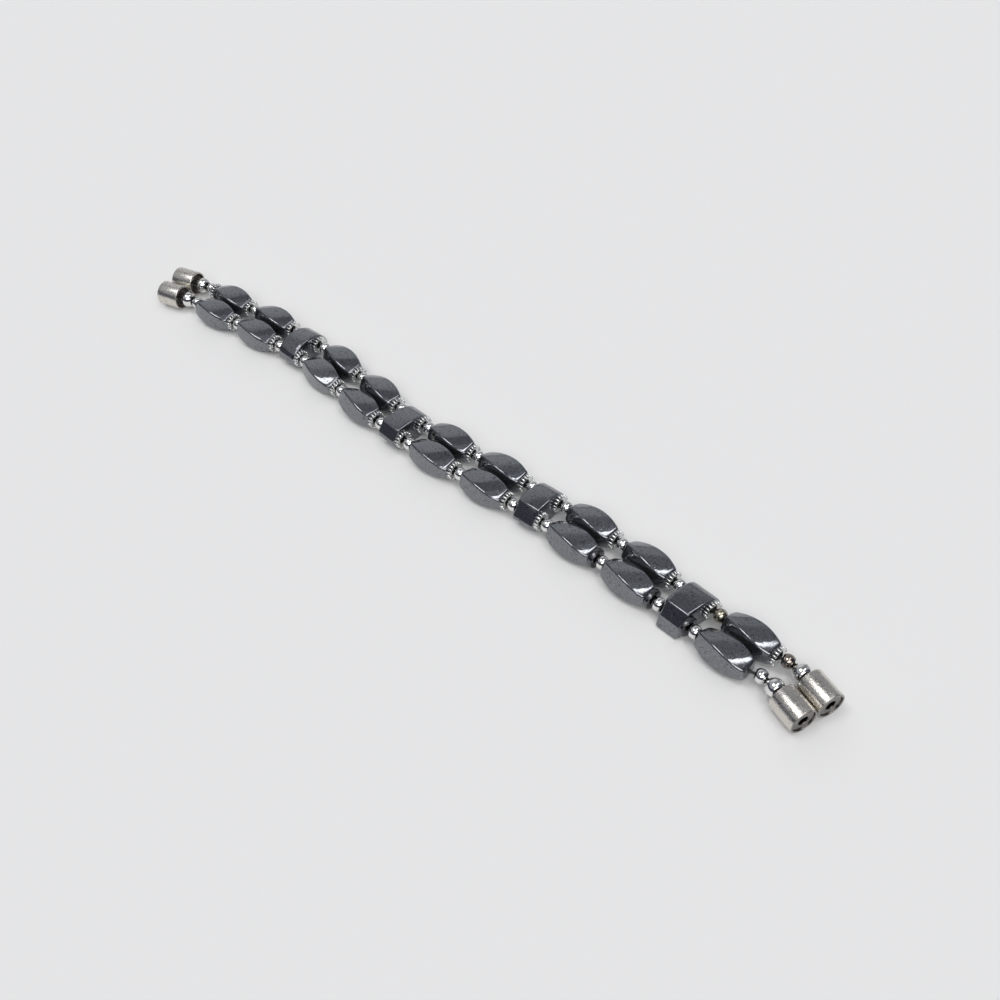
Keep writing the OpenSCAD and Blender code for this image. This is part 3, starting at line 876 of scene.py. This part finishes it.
# %% Thread finish
def thread_finish():
    material, tree, shader = new_material("beading_thread")
    spot = object_coordinates(tree, 35, (3, 1, 1))
    strands = noise(tree, spot, 4000, 2)
    stops = [(0.3, (0.012, 0.012, 0.013)), (0.7, (0.05, 0.05, 0.052))]
    tree.links.new(ramp(tree, strands, stops), shader.inputs["Base Color"])
    shader.inputs["Roughness"].default_value = 0.75
    bump(tree, shader, strands, 0.6, 0.00005)
    return material


thread = thread_finish()
for name in ("front_thread", "back_thread"):
    nodes[name].data.materials.clear()
    nodes[name].data.materials.append(thread)

# %% [markdown]
# ## Floor and light
# The floor is plain and pale. Polished stone shows its surroundings and hardly its own colour, so
# the light is the look: a narrow panel overhead draws the crescents, a round one draws the thin
# lines along the edges, the wall behind is grey with a darker patch that crosses the upper faces
# as a slanting band, the dark side of the room in front makes the black lines and the navy
# bevels, a broad light behind the camera brightens the floor, and the floor lights the undersides.

# %% Floor
bpy.ops.mesh.primitive_plane_add(size=6, location=(0, 0, -0.00002))
floor = bpy.context.active_object
floor.name = "pale_floor"
floor_material, _, floor_shader = new_material("pale_floor")
floor_shader.inputs["Base Color"].default_value = (0.87, 0.865, 0.855, 1)
floor_shader.inputs["Roughness"].default_value = 0.9
floor_shader.inputs["Specular IOR Level"].default_value = 0.0
floor.data.materials.append(floor_material)
print("floor laid")

# %% [markdown]
# The room is painted on the world's sphere by direction, one soft-edged patch over another, so it
# needs no lamps. Directions are x to the near end, y to the back, z up.

# %% Tools for painting the room
world = bpy.data.worlds.new("studio_room")
bpy.context.scene.world = world
world.use_nodes = True
room = world.node_tree
room.nodes.clear()
output = add(room, "ShaderNodeOutputWorld")
background = add(room, "ShaderNodeBackground", Strength=1.0)
room.links.new(background.outputs[0], output.inputs[0])
direction = add(room, "ShaderNodeTexCoord").outputs["Generated"]


def lobe(towards, inner_angle, outer_angle):
    """A soft disc of the sky: 1 within the inner angle of a direction, 0 beyond the outer angle."""
    dot = add(room, "ShaderNodeVectorMath", operation="DOT_PRODUCT")
    room.links.new(direction, dot.inputs[0])
    dot.inputs[1].default_value = Vector(towards).normalized()
    step = add(room, "ShaderNodeMapRange", interpolation_type="SMOOTHSTEP")
    step.inputs["From Min"].default_value = math.cos(math.radians(outer_angle))
    step.inputs["From Max"].default_value = math.cos(math.radians(inner_angle))
    room.links.new(dot.outputs["Value"], step.inputs["Value"])
    return step.outputs["Result"]


def painted(below, mask, colour):
    """Lays a colour over the room where the mask is 1."""
    mix = add(room, "ShaderNodeMix", data_type="RGBA")
    room.links.new(mask, mix.inputs[0])
    if isinstance(below, tuple):
        mix.inputs[6].default_value = (*below, 1)
    else:
        room.links.new(below, mix.inputs[6])
    mix.inputs[7].default_value = (*colour, 1)
    return mix.outputs[2]


def slope(axis, start, stop):
    """0 to 1 as the direction's x, y or z goes from start to stop."""
    parts = add(room, "ShaderNodeSeparateXYZ")
    room.links.new(direction, parts.inputs[0])
    step = add(room, "ShaderNodeMapRange", interpolation_type="SMOOTHSTEP")
    step.inputs["From Min"].default_value = start
    step.inputs["From Max"].default_value = stop
    room.links.new(parts.outputs["XYZ".index(axis)], step.inputs["Value"])
    return step.outputs["Result"]


def both(first, *others):
    for other in others:
        product = add(room, "ShaderNodeMath", operation="MULTIPLY")
        room.links.new(first, product.inputs[0])
        room.links.new(other, product.inputs[1])
        first = product.outputs[0]
    return first


print("painting tools ready")

# %% Paint the room
BLACK, GREY, WALL = (0.06, 0.064, 0.09), (0.36, 0.37, 0.395), (0.6, 0.61, 0.63)
DARK_PATCH, DIM_PATCH = (0.2, 0.21, 0.235), (0.27, 0.28, 0.305)
FILL, PANEL, ROUND = (3.3,) * 3, (5.4,) * 3, (5.0,) * 3  # the three lights, brighter than white
sky = painted(GREY, lobe((-0.66, 0.62, 0.42), 8, 32), WALL)  # grey wall, far end and back
sky = painted(sky, lobe((-0.28, 0.36, 0.89), 11, 15), DARK_PATCH)  # the slanting band
sky = painted(sky, lobe((-0.12, 0.72, 0.68), 5, 22), DIM_PATCH)  # a dimmer part of the wall
sky = painted(sky, both(slope("Z", 0.48, 0.38), slope("Y", 0.1, -0.1)), BLACK)  # the dark side in front
front_above = both(slope("Z", 0.62, 0.54), slope("Y", -0.2, -0.35), slope("X", -0.35, -0.2))
sky = painted(sky, front_above, BLACK)  # which reaches higher towards the near end
sky = painted(sky, slope("X", 0.3, 0.5), BLACK)  # and beyond the near end
fill = both(slope("X", 0.1, 0.3), slope("Y", 0.1, -0.1), slope("Z", 0.54, 0.6), slope("Z", 0.94, 0.88))
sky = painted(sky, fill, FILL)  # behind the camera
panel = both(slope("X", 0.11, 0.14), slope("X", 0.3, 0.18),
             slope("Y", -0.15, -0.05), slope("Y", 0.65, 0.45))
sky = painted(sky, both(panel, slope("Z", 0.0, 0.3)), PANEL)
sky = painted(sky, lobe((-0.28, -0.2, 0.94), 11, 14), ROUND)
room.links.new(sky, background.inputs["Color"])
print("room painted")

# %% [markdown]
# ## Camera
# The camera stands where the photographer's did: high on the near right, looking down along the
# bracelet, with a slight roll. Its distance and lens were fitted to points of the photograph.

# %% Camera
bpy.context.scene.view_settings.view_transform = "Standard"
AIM = Vector((17.643, -0.745, 0)) * MM
AZIMUTH, ELEVATION, ROLL, DISTANCE, FOCAL = 47.74, 48.57, -6.01, 254.31, 1157.26
a, e, r = (math.radians(v) for v in (AZIMUTH, ELEVATION, ROLL))
back = Vector((math.sin(a) * math.cos(e), -math.cos(a) * math.cos(e), math.sin(e)))
right = Vector((math.cos(a), math.sin(a), 0))
up = back.cross(right)
right_rolled = right * math.cos(r) + up * math.sin(r)
up_rolled = up * math.cos(r) - right * math.sin(r)
view = bpy.data.cameras.new("camera")
SENSOR, PICTURE = 36, 1000  # sensor in mm and picture in pixels, both square
view.sensor_width = SENSOR
view.lens = FOCAL * SENSOR / PICTURE
view.clip_start, view.clip_end = 0.01, 20
camera = bpy.data.objects.new("camera", view)
bpy.context.scene.collection.objects.link(camera)
place = Matrix((right_rolled, up_rolled, back)).transposed().to_4x4()
place.translation = AIM + back * DISTANCE * MM
camera.matrix_world = place
bpy.context.scene.camera = camera
print("camera at, mm:", [round(v / MM, 1) for v in place.translation])

# %% [markdown]
# ## Check the sizes
# The finished pieces have to fill the same boxes as the CAD solids. The largest differences are
# printed.

# %% Sizes and finish
worst = sorted(finished, reverse=True)[:5]
print("largest box differences, mm:", [(round(off, 2), name) for off, name, _ in worst])
print("faces in all:", sum(count for _, _, count in finished))
